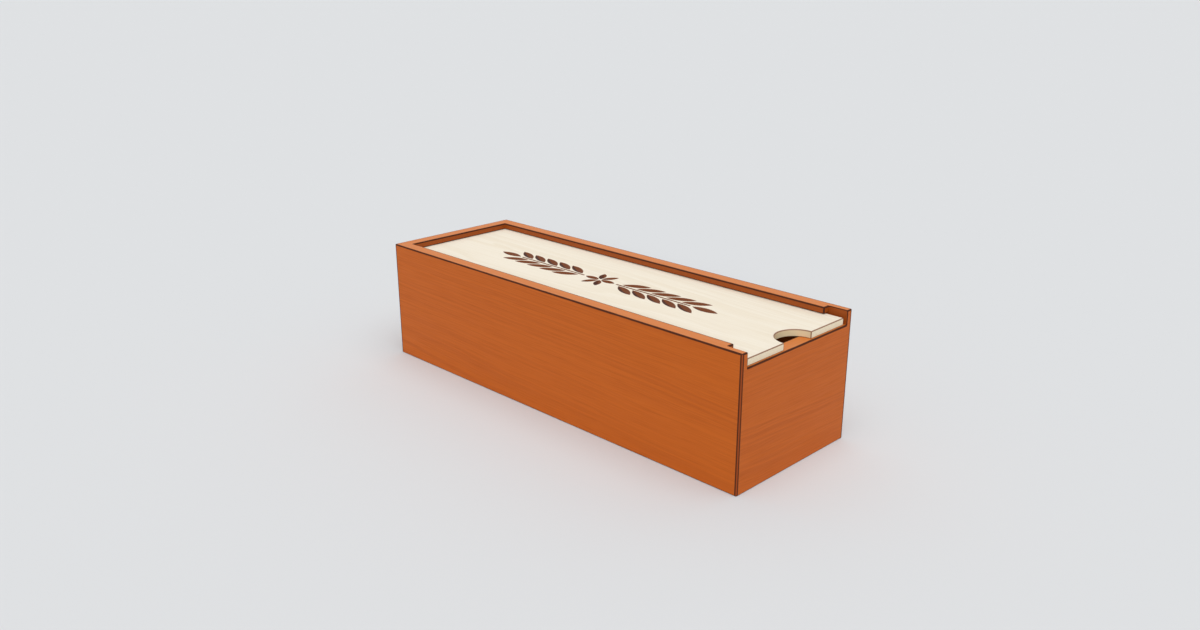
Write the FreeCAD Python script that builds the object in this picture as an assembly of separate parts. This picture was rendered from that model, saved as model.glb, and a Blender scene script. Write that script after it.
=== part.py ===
import FreeCAD, Part
import math
import os

# A long wooden box with a sliding lid. Four boards are mitred together round a captive
# bottom panel. The lid is a thin flat board that runs in a groove near the rim and draws
# out over the low end board. Millimetres, +Z up, origin under the middle of the box,
# long way along X, low end and lid pull towards +X.

# Outside of the box
box_length = 300.0
box_width = 100.0
box_height = 79.5

# Boards
board_thickness = 9.0
corner_radius = 1.0  # rounding of the four upright outer corners
arris_radius = 0.5  # light sanding of every other exposed edge

# Lid groove, cut in the side boards and the tall end board
groove_depth = 4.5
lip_height = 4.0  # wood left above the groove
lip_cutback = 12.5  # stretch at the low end where the lip is taken off

# Lid
lid_thickness = 4.2
lid_lift_clearance = 0.3  # groove height beyond the lid
lid_side_clearance = 1.5  # from each long edge of the lid to the bottom of its groove
lid_setback = 1.5  # from the outer face of the low end to the closed lid's edge
finger_notch_radius = 12.5
lid_edge_radius = 0.4

# Bottom panel, held in a groove round all four boards
panel_thickness = 5.0
panel_recess = 4.0  # from the table to the underside of the panel
panel_groove_depth = 4.5
panel_groove_clearance = 0.2  # groove height beyond the panel
panel_edge_clearance = 0.5  # from each edge of the panel to the bottom of its groove

# Loose tongues glued into the mitres, out of sight
tongue_thickness = 3.0
tongue_width = 8.0  # across the joint, half in each board
tongue_shift = 1.8  # from the middle of the mitre towards the inside of the box
tongue_margin = 4.0  # wood between a tongue's ends and the two grooves
tongue_glue_gap = 0.05
tongue_end_gap = 0.3

# Chip-carved ornament on the lid: a six-petal rosette between two leafy sprigs
petal_count = 6
petal_length = 11.5
petal_width = 4.8
petal_start = 1.0  # from the middle of the rosette to the tip of a petal
leaf_pairs = 5
leaf_length = 19.0
leaf_width = 6.0
leaf_angle = 25.0  # between a leaf and the stem
leaf_pitch = 12.0
leaf_offset = 4.0  # from the stem's middle to the tip of a leaf
sprig_start = 14.0  # from the middle of the rosette to the stem's end
stem_width = 1.4
stem_depth = 0.55
end_leaf_gap = 1.2
chip_depth = 1.1

# Places worked out from the sizes above
half_length = box_length / 2
half_width = box_width / 2
groove_height = lid_thickness + lid_lift_clearance
groove_top = box_height - lip_height
groove_floor = groove_top - groove_height
groove_wall = board_thickness - groove_depth
panel_groove_wall = board_thickness - panel_groove_depth
panel_top = panel_recess + panel_thickness
panel_groove_top = panel_top + panel_groove_clearance
lid_rear = -half_length + groove_wall
lid_front = half_length - lid_setback
lid_half_width = half_width - groove_wall - lid_side_clearance
lid_top = groove_floor + lid_thickness
tongue_bottom = panel_groove_top + tongue_margin
tongue_top = groove_floor - tongue_margin

# How far a cutting shape reaches past what it cuts
overshoot = 1.0
probe = 0.05  # step off an edge when asking which side of it is wood


def block(x0, x1, y0, y1, z0, z1):
    return Part.makeBox(x1 - x0, y1 - y0, z1 - z0, FreeCAD.Vector(x0, y0, z0))


def prism(corners, z0, z1):
    points = [FreeCAD.Vector(x, y, z0) for x, y in corners]
    outline = Part.makePolygon(points + points[:1])
    return Part.Face(outline).extrude(FreeCAD.Vector(0, 0, z1 - z0))


def outward_normal(face, point):
    u, v = face.Surface.parameter(point)
    return face.normalAt(u, v)


def is_exposed(solid, edge):
    """True for a square outside corner, and False for an inside corner or a smooth seam."""
    middle = edge.valueAt((edge.FirstParameter + edge.LastParameter) / 2)
    first, second = solid.ancestorsOfType(edge, Part.Face)[:2]
    a = outward_normal(first, middle)
    b = outward_normal(second, middle)
    if abs(a.dot(b)) > 0.5:
        return False
    beside = middle + (a - b) * probe
    return not solid.isInside(beside, probe / 10, True)


def in_panel_groove(edge):
    low, high = edge.BoundBox.ZMin, edge.BoundBox.ZMax
    return low > panel_recess - probe and high < panel_groove_top + probe


def carcase():
    """The four boards as one shape: hollowed, grooved, cut down at the low end, edges sanded."""
    whole = block(-half_length, half_length, -half_width, half_width, 0, box_height)
    upright = [e for e in whole.Edges if e.BoundBox.ZLength > box_height / 2]
    whole = whole.makeFillet(corner_radius, upright)
    inside_x = half_length - board_thickness
    inside_y = half_width - board_thickness
    hollow = block(-inside_x, inside_x, -inside_y, inside_y, -overshoot, box_height + overshoot)
    slot_y = half_width - groove_wall
    lid_slot = block(lid_rear, half_length + overshoot, -slot_y, slot_y, groove_floor, groove_top)
    lip_end = half_length - lip_cutback
    open_end = block(
        lip_end, half_length + overshoot, -slot_y, slot_y, groove_floor, box_height + overshoot
    )
    panel_x = half_length - panel_groove_wall
    panel_y = half_width - panel_groove_wall
    panel_slot = block(-panel_x, panel_x, -panel_y, panel_y, panel_recess, panel_groove_top)
    cut = whole.cut([hollow, lid_slot, open_end, panel_slot]).removeSplitter().Solids[0]
    sanded = [e for e in cut.Edges if is_exposed(cut, e) and not in_panel_groove(e)]
    return cut.makeFillet(arris_radius, sanded)


def side_ground():
    """The space that the -Y side board may fill: mitred at both ends, and square above the
    low end board, where its upright ear runs out to the end of the box."""
    out_x, out_y = half_length + overshoot, -half_width - overshoot
    in_x = half_length - board_thickness - overshoot
    in_y = -half_width + board_thickness + overshoot
    mitred = [(-out_x, out_y), (out_x, out_y), (in_x, in_y), (-in_x, in_y)]
    square = [(-out_x, out_y), (out_x, out_y), (out_x, in_y), (-in_x, in_y)]
    lower = prism(mitred, -overshoot, groove_floor)
    upper = prism(square, groove_floor, box_height + overshoot)
    return lower.fuse(upper).removeSplitter()


def end_ground(end, top):
    """The space that an end board may fill. end is +1 at the low end and -1 at the tall end."""
    out_x, out_y = end * (half_length + overshoot), half_width + overshoot
    in_x = end * (half_length - board_thickness - overshoot)
    in_y = half_width - board_thickness - overshoot
    corners = [(out_x, -out_y), (out_x, out_y), (in_x, in_y), (in_x, -in_y)]
    return prism(corners, -overshoot, top)


def tongue(end, side, gap=0.0, end_gap=0.0):
    """A loose tongue across the mitre at one corner, or with gaps, the slot that it is glued in."""
    reach = tongue_width / 2 + end_gap
    half = tongue_thickness / 2 + gap
    flat = block(-reach, reach, -half, half, tongue_bottom - end_gap, tongue_top + end_gap)
    flat.rotate(FreeCAD.Vector(), FreeCAD.Vector(0, 0, 1), 45 * end * side * -1)
    slide = tongue_shift / math.sqrt(2)
    middle_x = end * (half_length - board_thickness / 2 - slide)
    middle_y = side * (half_width - board_thickness / 2 - slide)
    flat.translate(FreeCAD.Vector(middle_x, middle_y, 0))
    return flat


def bottom_panel():
    edge_x = half_length - panel_groove_wall - panel_edge_clearance
    edge_y = half_width - panel_groove_wall - panel_edge_clearance
    return block(-edge_x, edge_x, -edge_y, edge_y, panel_recess, panel_top)


def chip(length, width, start, angle, x=0.0):
    """One leaf-shaped V cut, tip to tip along its length, where two upright cones overlap. It
    starts the given distance from a point at x on the middle line, at an angle to +X."""
    radius = (length**2 + width**2) / (4 * width)
    off_axis = radius - width / 2
    flare = overshoot * (width / 2) / chip_depth
    cones = [
        Part.makeCone(
            off_axis,
            radius + flare,
            chip_depth + overshoot,
            FreeCAD.Vector(start + length / 2, side * off_axis, lid_top - chip_depth),
        )
        for side in (-1, 1)
    ]
    cut = cones[0].common(cones[1])
    cut.rotate(FreeCAD.Vector(), FreeCAD.Vector(0, 0, 1), angle)
    cut.translate(FreeCAD.Vector(x, 0, 0))
    return cut


def stem(start, end):
    """A straight V groove along X."""
    slope = (stem_width / 2) / stem_depth
    top = stem_width / 2 + overshoot * slope
    points = [
        FreeCAD.Vector(start, -top, lid_top + overshoot),
        FreeCAD.Vector(start, top, lid_top + overshoot),
        FreeCAD.Vector(start, 0, lid_top - stem_depth),
    ]
    outline = Part.makePolygon(points + points[:1])
    return Part.Face(outline).extrude(FreeCAD.Vector(end - start, 0, 0))


def ornament():
    """The V cuts of the whole ornament, the same both ways from the rosette."""
    cuts = [
        chip(petal_length, petal_width, petal_start, turn * 360 / petal_count)
        for turn in range(petal_count)
    ]
    stem_end = sprig_start + leaf_pitch * leaf_pairs
    for way in (0, 180):
        along = math.cos(math.radians(way))
        for pair in range(leaf_pairs):
            x = along * (sprig_start + leaf_pitch * pair)
            for lean in (-leaf_angle, leaf_angle):
                cuts.append(chip(leaf_length, leaf_width, leaf_offset, way + lean, x))
        cuts.append(chip(leaf_length, leaf_width, stem_end + end_leaf_gap, way))
        cuts.append(stem(*sorted((along * sprig_start, along * stem_end))))
    return cuts


def sliding_lid():
    plate = block(lid_rear, lid_front, -lid_half_width, lid_half_width, groove_floor, lid_top)
    notch = Part.makeCylinder(
        finger_notch_radius,
        lid_thickness + 2 * overshoot,
        FreeCAD.Vector(lid_front, 0, groove_floor - overshoot),
    )
    plate = plate.cut(notch)
    plate = plate.makeFillet(lid_edge_radius, plate.Edges)
    return plate.cut(ornament())


def build():
    """Every piece of the box by name."""
    corners = {
        "front_left": (1, -1),
        "front_right": (1, 1),
        "back_left": (-1, -1),
        "back_right": (-1, 1),
    }
    shell = carcase()
    slots = [tongue(*at, tongue_glue_gap, tongue_end_gap) for at in corners.values()]
    left = side_ground()
    right = left.mirror(FreeCAD.Vector(), FreeCAD.Vector(0, 1, 0))
    grounds = {
        "side_board_left": left,
        "side_board_right": right,
        "front_board": end_ground(1, groove_floor),
        "back_board": end_ground(-1, box_height + overshoot),
    }
    pieces = {name: shell.common(ground).cut(slots) for name, ground in grounds.items()}
    pieces["bottom_panel"] = bottom_panel()
    pieces["sliding_lid"] = sliding_lid()
    for name, at in corners.items():
        pieces["corner_tongue_" + name] = tongue(*at)
    return pieces


os.makedirs("parts", exist_ok=True)
for name, piece in build().items():
    whole = piece.removeSplitter()
    print(f"{name}: {len(whole.Solids)} solid, {whole.Volume / 1000:.1f} cm3, valid {whole.isValid()}")
    whole.exportStep(f"parts/{name}.step")
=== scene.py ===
import math

import bpy
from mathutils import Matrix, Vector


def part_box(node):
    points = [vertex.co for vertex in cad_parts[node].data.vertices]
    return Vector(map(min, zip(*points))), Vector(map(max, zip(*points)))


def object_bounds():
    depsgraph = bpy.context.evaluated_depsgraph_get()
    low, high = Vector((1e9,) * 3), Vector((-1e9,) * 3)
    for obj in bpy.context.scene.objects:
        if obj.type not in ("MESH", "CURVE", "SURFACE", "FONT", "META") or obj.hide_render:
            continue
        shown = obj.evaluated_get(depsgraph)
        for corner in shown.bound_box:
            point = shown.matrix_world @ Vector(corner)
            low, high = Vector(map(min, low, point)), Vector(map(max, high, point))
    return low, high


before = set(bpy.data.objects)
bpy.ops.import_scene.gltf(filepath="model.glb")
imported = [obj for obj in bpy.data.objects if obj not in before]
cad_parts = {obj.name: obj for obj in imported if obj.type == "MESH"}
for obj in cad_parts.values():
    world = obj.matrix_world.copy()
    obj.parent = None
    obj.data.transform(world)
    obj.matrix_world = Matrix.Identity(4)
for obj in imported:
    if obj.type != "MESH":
        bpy.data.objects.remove(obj)  # every board, the lid and the hidden tongues, at their real size
cadLow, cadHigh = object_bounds()

# A long box of red-stained boards under a pale sliding lid with a carved and darkened
# ornament. The shapes all come from model.glb, and this script finishes the wood and lights it.


def linear(hexColour):  # an sRGB hex colour, turned to the linear one that a shader takes
    channels = [int(hexColour[i : i + 2], 16) / 255 for i in (1, 3, 5)]
    return tuple(c / 12.92 if c <= 0.04045 else ((c + 0.055) / 1.055) ** 2.4 for c in channels) + (1.0,)


def addNode(tree, kind, inputs, output=0, **settings):
    # inputs are values or links, in the order of the sockets or by a socket's name or number
    node = tree.nodes.new("ShaderNode" + kind)
    for setting, value in settings.items():
        setattr(node, setting, value)
    sockets = inputs if isinstance(inputs, dict) else dict(enumerate(inputs))
    for socket, value in sockets.items():
        if isinstance(value, bpy.types.NodeSocket):
            tree.links.new(value, node.inputs[socket])
        else:
            node.inputs[socket].default_value = value
    return node.outputs[output] if node.outputs else node


smooth = {"interpolation_type": "SMOOTHSTEP"}  # makes a Map Range ease in and out


def newMaterial(name):
    material = bpy.data.materials.new(name)
    material.use_nodes = True
    material.node_tree.nodes.clear()
    return material, material.node_tree


def putOn(node, material):
    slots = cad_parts[node].data.materials
    slots.clear()
    slots.append(material)


# Masks: numbers from 0 to 1 that say how much of a colour lies on a place


def allOf(tree, masks):
    product = masks[0]
    for mask in masks[1:]:
        product = addNode(tree, "Math", (product, mask), operation="MULTIPLY")
    return product


def largestOf(tree, values):
    largest = values[0]
    for value in values[1:]:
        largest = addNode(tree, "Math", (largest, value), operation="MAXIMUM")
    return largest


def facing(tree):
    # how far the surface faces along x, y and z, either way, from 0 to 1
    normal = addNode(tree, "TexCoord", {}, "Normal")
    either = addNode(tree, "VectorMath", (normal,), operation="ABSOLUTE")
    return addNode(tree, "SeparateXYZ", (either,)).node.outputs


def arrisMask(tree, turned, flat):
    # 0 on flat faces, 1 where the surface rounds an edge and faces between two axes
    return addNode(tree, "MapRange", (largestOf(tree, facing(tree)), turned, flat, 1.0, 0.0), **smooth)


def fromEdge(tree, place, node, others=()):
    # metres from the nearest edge of a piece's own box, its foot left out: an edge is where two
    # faces meet, so this is the second smallest of the distances to the faces
    low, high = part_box(node)
    x, y, z = addNode(tree, "SeparateXYZ", (place,)).node.outputs
    distances = []
    for along, face in ((x, low.x), (x, high.x), (y, low.y), (y, high.y), (z, high.z)):
        past = addNode(tree, "Math", (along, face), operation="SUBTRACT")
        distances.append(addNode(tree, "Math", (past,), operation="ABSOLUTE"))
    distances.extend(others)
    nearest, second = distances[0], 1.0
    for distance in distances[1:]:
        further = addNode(tree, "Math", (nearest, distance), operation="MAXIMUM")
        second = addNode(tree, "Math", (further, second), operation="MINIMUM")
        nearest = addNode(tree, "Math", (nearest, distance), operation="MINIMUM")
    return second


# Solid wood, as a pattern that fills space: growth rings round a heart that runs along the
# grain, then fibres and pores drawn out along it. A face shows long cathedral lines, an edge
# shows straight lines, and an end shows arcs, because all three cut the same pattern.

rings = {
    "goodYears": 0.13,  # per mm, how often wide years and narrow ones take turns
    "darkens": (0.15, 0.86),  # the part of a year over which the wood slowly darkens
    "ends": (0.9, 1.0),  # and the part over which it turns pale again
    "patch": (170.0, 15.0),  # mm long and wide, where the lines show more or less
    "faintest": 0.35,
}


def stretchedNoise(tree, millimetres, along, across, detail=2.0, roughness=0.5):
    # noise with grains so many millimetres long and wide, mostly between 0.2 and 0.8
    scale = (1 / along, 1 / across, 1 / across)
    vector = addNode(tree, "VectorMath", (millimetres, scale), operation="MULTIPLY")
    settings = {"Vector": vector, "Scale": 1.0, "Detail": detail, "Roughness": roughness}
    return addNode(tree, "TexNoise", settings)


def growthRings(tree, millimetres, wood):
    # 0 in the pale early wood, rising to 1 at the dark line that ends each year
    across = addNode(tree, "VectorMath", (millimetres, (0, 1, 1)), operation="MULTIPLY")
    radius = addNode(tree, "VectorMath", (across,), "Value", operation="LENGTH")
    along = addNode(tree, "SeparateXYZ", (millimetres,), "X")
    taper = addNode(tree, "Math", (along, wood["taper"]), operation="MULTIPLY")
    bends = stretchedNoise(tree, millimetres, wood["wanderLength"], wood["wanderWidth"], 3.0)
    wander = addNode(tree, "MapRange", (bends, 0.2, 0.8, -wood["wander"], wood["wander"]), **smooth)
    for change in (taper, wander):
        radius = addNode(tree, "Math", (radius, change), operation="ADD")
    weather = {"W": radius, "Scale": rings["goodYears"], "Detail": 2.0}
    weather = addNode(tree, "TexNoise", weather, noise_dimensions="1D")
    spread = wood["unevenYears"]
    uneven = addNode(tree, "MapRange", (weather, 0.25, 0.75, -spread, spread), **smooth)
    radius = addNode(tree, "Math", (radius, uneven), operation="ADD")
    years = addNode(tree, "Math", (radius, wood["ringWidth"]), operation="DIVIDE")
    year = addNode(tree, "Math", (years,), operation="FRACT")
    rise = addNode(tree, "MapRange", (year, *rings["darkens"], 0.0, 1.0), **smooth)
    fall = addNode(tree, "MapRange", (year, *rings["ends"], 1.0, 0.0), **smooth)
    patches = stretchedNoise(tree, millimetres, *rings["patch"])
    strength = addNode(tree, "MapRange", (patches, 0.3, 0.7, rings["faintest"], 1.0), **smooth)
    return allOf(tree, (rise, fall, strength))


def layCoats(tree, colour, coats):
    # lays colours over each other in turn, each by its own amount
    for amount, coat in coats:
        colour = addNode(tree, "Mix", {0: amount, 6: colour, 7: coat}, 2, data_type="RGBA")
    return colour


def woodColour(tree, millimetres, wood):
    # the rings, then the fibres, over the pale early wood; also the fibres alone, for bump and shine
    late = allOf(tree, (growthRings(tree, millimetres, wood), wood["ringAmount"]))
    fibres = stretchedNoise(tree, millimetres, wood["fibreLength"], wood["fibreWidth"], 3.0, 0.6)
    streaks = addNode(tree, "MapRange", (fibres, 0.45, 0.72, 0.0, wood["fibreAmount"]), **smooth)
    coats = [(late, linear(wood["late"])), (streaks, linear(wood["fibre"]))]
    return layCoats(tree, linear(wood["early"]), coats), fibres


def woodSurface(tree, colour, fibres, edge, wood):
    plain = addNode(tree, "MapRange", (fibres, 0.3, 0.7, wood["smoothest"], wood["roughest"]), **smooth)
    shader = {
        "Base Color": colour,
        "Roughness": addNode(tree, "MapRange", (edge, 0.0, 1.0, plain, wood["edgeRoughness"]), **smooth),
        "IOR": wood["ior"],
        "Specular IOR Level": wood["shine"],
        "Normal": addNode(tree, "Bump", {"Strength": 0.5, "Distance": wood["bump"], "Height": fibres}),
    }
    addNode(tree, "OutputMaterial", {"Surface": addNode(tree, "BsdfPrincipled", shader)})


redStain = {
    "early": "#C05E0E",
    "late": "#A24808",
    "fibre": "#933F08",
    # painted highlight: the faces that look up are painted this lighter colour
    "top": "#DC8A45",
    "paintedHighlightAmount": 0.5,
    "paintedHighlightFrom": (0.9, 1.0),  # how squarely a face looks up where the painted highlight starts, and where it is full
    "edge": "#36160A",
    "edgeAmount": 0.94,
    "edgeRoughness": 0.85,
    "edgeWidth": (0.0006, 0.00105),  # m from the edge, where the dark line starts to fade and ends
    "edgeUneven": 0.00007,  # m that the dark line's border strays either way
    "unevenGrain": (11.0, 3.0),  # mm, how long and wide each stray is
    "linedTo": 1.0,  # m to each side of the middle; the lines beyond it are left out
    "arris": (0.97, 0.9995),  # how squarely a surface faces an axis where it is all edge, and where flat
    "corner": "#8E4016",  # the middle of the rounded upright corners, between two dark lines
    "cornerMiddle": (0.00045, 0.00075),  # m, likewise
    "cornerWidth": (0.0012, 0.00155),
    # painted shade: the upright faces beside the lid are painted this darker colour
    "groove": "#6A2E10",
    "grooveShadeAmount": 0.55,
    "ringWidth": 2.2,  # mm, as in a slow-grown hardwood
    "ringAmount": 0.38,
    "taper": 0.022,  # mm of radius per mm of length, which turns the rings into cathedrals
    "wander": 2.4,  # mm
    "unevenYears": 2.6,  # mm
    "wanderLength": 260.0,
    "wanderWidth": 55.0,
    "fibreLength": 26.0,
    "fibreWidth": 0.55,
    "fibreAmount": 0.25,
    "smoothest": 0.46,
    "roughest": 0.58,
    "ior": 1.45,
    "shine": 0.28,
    "bump": 0.00003,
}
groove = {
    "rear": -0.146,  # m, just past the groove's rear wall
    "side": 0.0456,  # just past its side walls
    "lipEnd": 0.1375,  # where the lips over it are cut off
    "floor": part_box("front_board")[1].z,  # which is as high as the low end stands
    "slack": 0.0001,
    "notLevel": 0.5,  # a face that looks up or down by less than this isn't the groove's floor or roof
}
uprightLimit = 0.15  # a surface that looks up or down by less than this stands upright
grainAlongX = 0.0
grainAlongY = math.radians(-90)


def grooveShadeMask(tree, place):
    # 1 on the upright faces beside the lid, where the painted shade goes: the lips, the groove's walls
    # and inside the ears
    x, y, z = addNode(tree, "SeparateXYZ", (place,)).node.outputs
    offMiddle = addNode(tree, "Math", (y,), operation="ABSOLUTE")
    tests = [
        addNode(tree, "Math", (x, groove["rear"]), operation="GREATER_THAN"),
        addNode(tree, "Math", (offMiddle, groove["side"]), operation="LESS_THAN"),
        addNode(tree, "Math", (z, groove["floor"] - groove["slack"]), operation="GREATER_THAN"),
        addNode(tree, "Math", (facing(tree)[2], groove["notLevel"]), operation="LESS_THAN"),
    ]
    return allOf(tree, tests)


def fromLipEnd(tree, place):
    # metres from the cut end of a lip, and over 1 away from the groove, where nothing is cut
    x, y, z = addNode(tree, "SeparateXYZ", (place,)).node.outputs
    past = addNode(tree, "Math", (x, groove["lipEnd"]), operation="SUBTRACT")
    distance = addNode(tree, "Math", (past,), operation="ABSOLUTE")
    offMiddle = addNode(tree, "Math", (y,), operation="ABSOLUTE")
    outside = addNode(tree, "Math", (offMiddle, groove["side"]), operation="GREATER_THAN")
    under = addNode(tree, "Math", (z, groove["floor"]), operation="LESS_THAN")
    for elsewhere in (outside, under):
        distance = addNode(tree, "Math", (distance, elsewhere), operation="ADD")
    return distance


def fromUprightCorner(tree, place):
    # metres from the nearest of the box's four upright corners, along either face
    offMiddle = addNode(tree, "VectorMath", (place,), operation="ABSOLUTE")
    left = addNode(tree, "VectorMath", (tuple(cadHigh), offMiddle), operation="SUBTRACT")
    return largestOf(tree, addNode(tree, "SeparateXYZ", (left,)).node.outputs[:2])


def cornerMasks(tree, place, wood):
    # 1 on the middle of the rounded upright corners, and 1 as far out as their dark lines go
    upright = addNode(tree, "Math", (facing(tree)[2], uprightLimit), operation="LESS_THAN")
    corner = fromUprightCorner(tree, place)
    for reach in (wood["cornerMiddle"], wood["cornerWidth"]):
        yield allOf(tree, (upright, addNode(tree, "MapRange", (corner, *reach, 1.0, 0.0), **smooth)))


def lineMask(tree, place, millimetres, node, wood):
    # 1 on a narrow, slightly uneven line along each edge of a board
    offMiddle = addNode(tree, "SeparateXYZ", (place,), "Y")
    offMiddle = addNode(tree, "Math", (offMiddle,), operation="ABSOLUTE")
    lined = addNode(tree, "Math", (offMiddle, wood["linedTo"]), operation="LESS_THAN")
    strays = stretchedNoise(tree, millimetres, *wood["unevenGrain"])
    reach = wood["edgeUneven"]
    stray = addNode(tree, "MapRange", (strays, 0.3, 0.7, -reach, reach), **smooth)
    distance = fromEdge(tree, place, node, [fromLipEnd(tree, place)])
    distance = addNode(tree, "Math", (distance, stray), operation="ADD")
    near = addNode(tree, "MapRange", (distance, *wood["edgeWidth"], 1.0, 0.0), **smooth)
    return allOf(tree, (lined, near))


def stainedHardwood(node, name, wood, turn, heart):
    # Hardwood sawn, planed, stained red-orange and sealed: an even warm colour from across a
    # room, and close to, soft lines of grain under a low satin shine. The stain has gathered
    # on the rounded edges. The upright faces beside the lid's groove are painted darker as painted
    # shade, and the faces that look up are painted lighter as a painted highlight.
    material, tree = newMaterial(name)
    place = addNode(tree, "TexCoord", {}, "Object")
    mapped = {"Vector": place, "Scale": (1000, 1000, 1000), "Rotation": (0, 0, turn), "Location": heart}
    millimetres = addNode(tree, "Mapping", mapped)
    colour, fibres = woodColour(tree, millimetres, wood)
    upward = addNode(tree, "SeparateXYZ", (addNode(tree, "TexCoord", {}, "Normal"),), "Z")
    # painted highlight on the faces that look up
    paintedHighlight = addNode(tree, "MapRange", (upward, *wood["paintedHighlightFrom"], 0.0, wood["paintedHighlightAmount"]), **smooth)
    # painted shade on the upright faces beside the lid
    grooveShade = allOf(tree, (grooveShadeMask(tree, place), wood["grooveShadeAmount"]))
    middle, corner = cornerMasks(tree, place, wood)
    dark = layCoats(tree, linear(wood["edge"]), [(middle, linear(wood["corner"]))])
    rounded = arrisMask(tree, *wood["arris"])
    line = lineMask(tree, place, millimetres, node, wood)
    edge = allOf(tree, (largestOf(tree, (rounded, line, corner)), wood["edgeAmount"]))
    coats = [(paintedHighlight, linear(wood["top"])), (grooveShade, linear(wood["groove"])), (edge, dark)]
    woodSurface(tree, layCoats(tree, colour, coats), fibres, edge, wood)
    putOn(node, material)


frontStain = {**redStain, "linedTo": groove["side"]}  # no line where its top meets the sides' ears
insideStain = {**redStain, "paintedHighlightAmount": 0.12}  # the panel is sheltered, so it gets only a little of the painted highlight
stainedHardwood("side_board_left", "stainedHardwoodLeft", redStain, grainAlongX, (0, 104, 28))
stainedHardwood("side_board_right", "stainedHardwoodRight", redStain, grainAlongX, (37, -109, 34))
stainedHardwood("front_board", "stainedHardwoodFront", frontStain, grainAlongY, (12, 90, 22))
stainedHardwood("back_board", "stainedHardwoodBack", redStain, grainAlongY, (-51, -94, 31))
stainedHardwood("bottom_panel", "stainedHardwoodBottom", insideStain, grainAlongX, (80, 12, 66))
print("boards stained")

paleWood = {
    "early": "#EFE6D5",
    "late": "#E3D5BC",
    "fibre": "#D6C6A8",
    # painted shade: the lid's upright faces are painted this darker, warmer colour
    "side": "#E8D6B4",
    "paintedSideShadeAmount": 0.6,
    "paintedSideShadeFrom": (0.2, 0.6),  # how squarely a face looks up where it is all painted side shade, and where none
    "notch": "#D3C29A",  # painted shade: the notch's wall is painted this darker colour
    "notchShadeAmount": 0.75,
    "notchRadius": 0.0125,  # m
    "notchReach": (0.0002, 0.0003),  # m from the notch's wall, where its colour starts to fade and ends
    "wallLean": 0.05,  # a surface that looks up by more than this isn't the notch's wall
    "edge": "#7A4526",
    "edgeAmount": 0.85,
    "edgeRoughness": 0.7,
    "edgeWidth": (0.0004, 0.0006),
    "arris": (0.95, 0.999),
    "carving": "#3E190A",  # the cuts' burnt colour, kept in full on the walls facing +y as painted shade
    "carvingPaintedLight": "#6E3A1B",  # painted light: the walls facing -y are painted this paler colour
    "carvingShadeTurn": 0.25,  # how far a wall looks towards -y or +y to be all painted light or all painted shade
    "ringWidth": 3.4,
    "ringAmount": 0.4,
    "taper": 0.02,
    "wander": 3.0,
    "unevenYears": 2.4,
    "wanderLength": 210.0,
    "wanderWidth": 42.0,
    "fibreLength": 30.0,
    "fibreWidth": 0.5,
    "fibreAmount": 0.22,
    "smoothest": 0.62,
    "roughest": 0.76,
    "ior": 1.45,
    "shine": 0.22,
    "bump": 0.00002,
}
ornament = {
    "halfLength": 0.100,  # m
    "halfWidth": 0.016,
    "bare": (0.00008, 0.00006),  # m below the surface, where a cut is all burnt and where it isn't yet
}


def carvingMask(tree, place):
    # 1 on the walls of the V cuts in the lid's upper face
    low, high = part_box("sliding_lid")
    x, y, z = addNode(tree, "SeparateXYZ", (place,)).node.outputs
    offMiddleX, offMiddleY = (addNode(tree, "Math", (along,), operation="ABSOLUTE") for along in (x, y))
    rim = [high.z - depth for depth in ornament["bare"]]
    tests = [
        addNode(tree, "MapRange", (z, *rim, 1.0, 0.0), **smooth),
        addNode(tree, "Math", (z, (low.z + high.z) / 2), operation="GREATER_THAN"),
        addNode(tree, "Math", (offMiddleX, ornament["halfLength"]), operation="LESS_THAN"),
        addNode(tree, "Math", (offMiddleY, ornament["halfWidth"]), operation="LESS_THAN"),
    ]
    return allOf(tree, tests)


def fromNotch(tree, place, wood):
    # metres from the wall of the half-round notch in the lid's front edge
    centre = (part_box("sliding_lid")[1].x, 0, 0)
    level = addNode(tree, "VectorMath", (place, (1, 1, 0)), operation="MULTIPLY")
    radius = addNode(tree, "VectorMath", (level, centre), "Value", operation="DISTANCE")
    past = addNode(tree, "Math", (radius, wood["notchRadius"]), operation="SUBTRACT")
    return addNode(tree, "Math", (past,), operation="ABSOLUTE")


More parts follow.
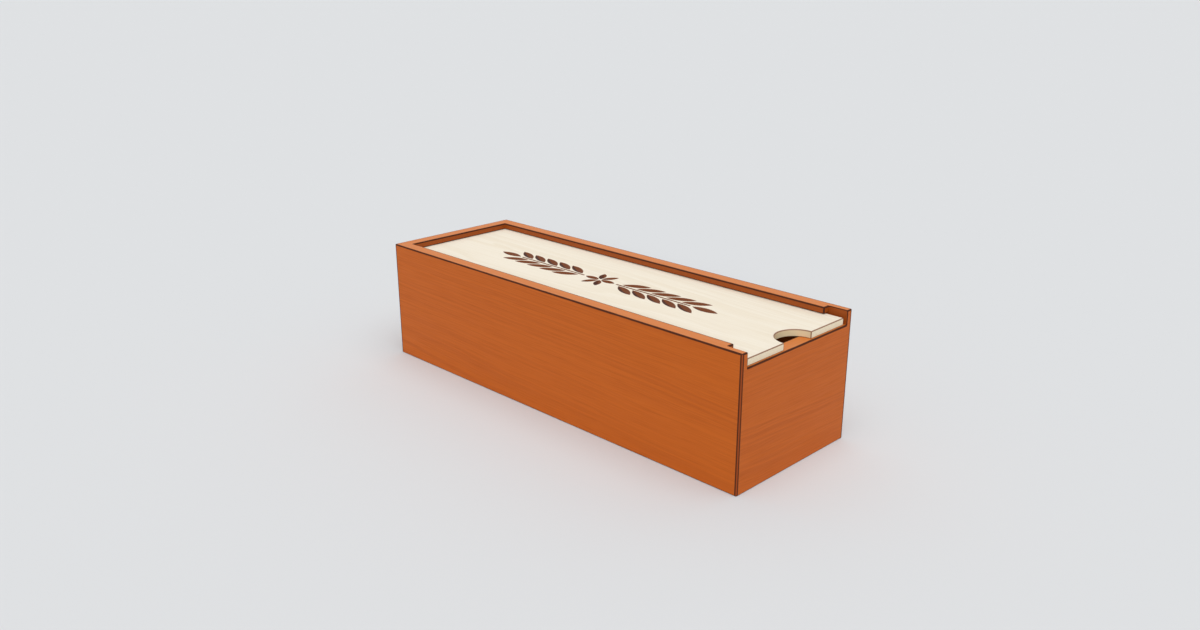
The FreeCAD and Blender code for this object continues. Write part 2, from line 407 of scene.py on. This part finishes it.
def paleHardwood(node, name, wood, heart):
    # Maple sawn thin and sanded smooth under a matt clear coat: cream, close-grained and nearly
    # even, browned along its edges, with the ornament's cuts burnt dark. Its upright sides are painted
    # darker and warmer, and the notch's wall darker, as painted shade; in each cut the walls facing -y
    # are painted paler as painted light, and those facing +y stay dark as painted shade.
    material, tree = newMaterial(name)
    place = addNode(tree, "TexCoord", {}, "Object")
    mapped = {"Vector": place, "Scale": (1000, 1000, 1000), "Location": heart}
    colour, fibres = woodColour(tree, addNode(tree, "Mapping", mapped), wood)
    level = facing(tree)[2]
    # painted shade on the lid's upright faces
    side = addNode(tree, "MapRange", (level, *wood["paintedSideShadeFrom"], wood["paintedSideShadeAmount"], 0.0), **smooth)
    awayFromNotch = fromNotch(tree, place, wood)
    leaning = addNode(tree, "Math", (level, wood["wallLean"]), operation="GREATER_THAN")
    offWall = addNode(tree, "Math", (awayFromNotch, leaning), operation="ADD")
    # painted shade on the notch's wall
    wall = addNode(tree, "MapRange", (offWall, *wood["notchReach"], wood["notchShadeAmount"], 0.0), **smooth)
    rounded = allOf(tree, (arrisMask(tree, *wood["arris"]), leaning))
    line = (fromEdge(tree, place, node, [awayFromNotch]), *wood["edgeWidth"], 1.0, 0.0)
    line = addNode(tree, "MapRange", line, **smooth)
    carved = carvingMask(tree, place)
    uncarved = addNode(tree, "Math", (1.0, carved), operation="SUBTRACT")
    edge = allOf(tree, (largestOf(tree, (rounded, line)), wood["edgeAmount"], uncarved))
    # painted light and shade in the cuts: walls facing -y are painted paler, walls facing +y keep the
    # dark burnt colour
    wallTurn = addNode(tree, "SeparateXYZ", (addNode(tree, "TexCoord", {}, "Normal"),), "Y")
    turned = wood["carvingShadeTurn"]
    paintedLitWalls = addNode(tree, "MapRange", (wallTurn, -turned, turned, 1.0, 0.0), **smooth)
    burntAndPaintedShade = layCoats(tree, linear(wood["carving"]), [(paintedLitWalls, linear(wood["carvingPaintedLight"]))])
    coats = [
        (side, linear(wood["side"])),
        (wall, linear(wood["notch"])),
        (edge, linear(wood["edge"])),
        (carved, burntAndPaintedShade),
    ]
    woodSurface(tree, layCoats(tree, colour, coats), fibres, edge, wood)
    putOn(node, material)


paleHardwood("sliding_lid", "lacqueredMapleLid", paleWood, (23, 9, -10))
print("lid lacquered")

bareBeech = {
    "early": "#D0B28F",
    "late": "#C09E79",
    "fibre": "#B18F69",
    "edgeRoughness": 0.75,
    "ringWidth": 2.8,
    "ringAmount": 0.5,
    "taper": 0.02,
    "wander": 1.5,
    "unevenYears": 1.5,
    "wanderLength": 150.0,
    "wanderWidth": 30.0,
    "fibreLength": 4.0,  # mm, the short flecks that tell beech from maple
    "fibreWidth": 0.4,
    "fibreAmount": 0.4,
    "smoothest": 0.65,
    "roughest": 0.8,
    "ior": 1.45,
    "shine": 0.25,
    "bump": 0.00003,
}


def planedBeech(node, name, wood, heart):
    # Beech planed and left bare for the glue: pinkish brown with short flecks, and matt. Its
    # grain crosses the mitre, so it is turned 45 degrees one way or the other.
    material, tree = newMaterial(name)
    place = addNode(tree, "TexCoord", {}, "Object")
    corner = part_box(node)[0]
    turn = math.copysign(math.radians(45), corner.x * corner.y)
    mapped = {"Vector": place, "Scale": (1000, 1000, 1000), "Rotation": (0, 0, turn), "Location": heart}
    colour, fibres = woodColour(tree, addNode(tree, "Mapping", mapped), wood)
    woodSurface(tree, colour, fibres, 0.0, wood)
    putOn(node, material)


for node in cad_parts:
    if node.startswith("corner_tongue"):
        planedBeech(node, "planedBeechTongue", bareBeech, (31, 40, 12))
print("tongues planed")

# A plain studio: a pale floor that runs out of sight, a backdrop of the same colour, an even
# sky, a very broad lamp overhead, a smaller one low at the front that reaches into the notch,
# and a weak broad one behind.

studio = {
    "floor": "#D9DBDD",
    "backdrop": "#E0E1E2",
    "floorWidth": 40.0,  # m
    "skyLight": 0.42,
    # each lamp's strength, how many degrees across it looks, and its turn from straight down
    "overhead": (1.5, 65.0, (20.0, 0.0, 58.0)),
    "fill": (1.05, 12.0, (69.5, 0.0, 35.5)),
    "back": (0.35, 80.0, (45.0, 0.0, 214.0)),
}


def makeFloor():
    material, tree = newMaterial("mattPaperFloor")  # seamless paper: no shine, so only the shadow shows
    paper = addNode(tree, "BsdfDiffuse", {"Color": linear(studio["floor"])})
    addNode(tree, "OutputMaterial", {"Surface": paper})
    half = studio["floorWidth"] / 2
    corners = [(-half, -half, 0), (half, -half, 0), (half, half, 0), (-half, half, 0)]
    mesh = bpy.data.meshes.new("floor")
    mesh.from_pydata(corners, [], [(0, 1, 2, 3)])
    mesh.materials.append(material)
    floor = bpy.data.objects.new("floor", mesh)
    bpy.context.collection.objects.link(floor)


def makeLight():
    world = bpy.data.worlds.new("studio")
    bpy.context.scene.world = world
    world.use_nodes = True
    tree = world.node_tree
    tree.nodes.clear()
    rays = [addNode(tree, "LightPath", {}, name) for name in ("Is Camera Ray", "Is Glossy Ray")]
    sky = addNode(tree, "Background", {"Color": (1, 1, 1, 1), "Strength": studio["skyLight"]})
    backdrop = addNode(tree, "Background", {"Color": linear(studio["backdrop"]), "Strength": 1.0})
    both = addNode(tree, "MixShader", (largestOf(tree, rays), sky, backdrop))
    addNode(tree, "OutputWorld", {"Surface": both})
    for name in ("overhead", "fill", "back"):
        strength, spread, turn = studio[name]
        lamp = bpy.data.lights.new(name, "SUN")
        lamp.energy = strength
        lamp.angle = math.radians(spread)
        holder = bpy.data.objects.new(name, lamp)
        holder.rotation_euler = [math.radians(angle) for angle in turn]
        bpy.context.collection.objects.link(holder)


# The camera stands where the photograph's camera stood, found from the box's own edges.
view = {
    "place": (0.4385, -0.4381, 0.2647),  # m from the middle of the box's foot
    "turn": (71.04, 0.09, 45.0),  # degrees
    "lens": 31.03,  # mm on a frame this wide
    "frameWidth": 36.0,
    "nearest": 0.02,  # m
}


def makeCamera():
    camera = bpy.data.cameras.new("camera")
    camera.lens = view["lens"]
    camera.sensor_width = view["frameWidth"]
    camera.clip_start = view["nearest"]
    holder = bpy.data.objects.new("camera", camera)
    holder.location = view["place"]
    holder.rotation_euler = [math.radians(angle) for angle in view["turn"]]
    bpy.context.collection.objects.link(holder)
    bpy.context.scene.camera = holder


makeFloor()
makeLight()
makeCamera()
bpy.context.scene.view_settings.view_transform = "Standard"
print("studio ready")
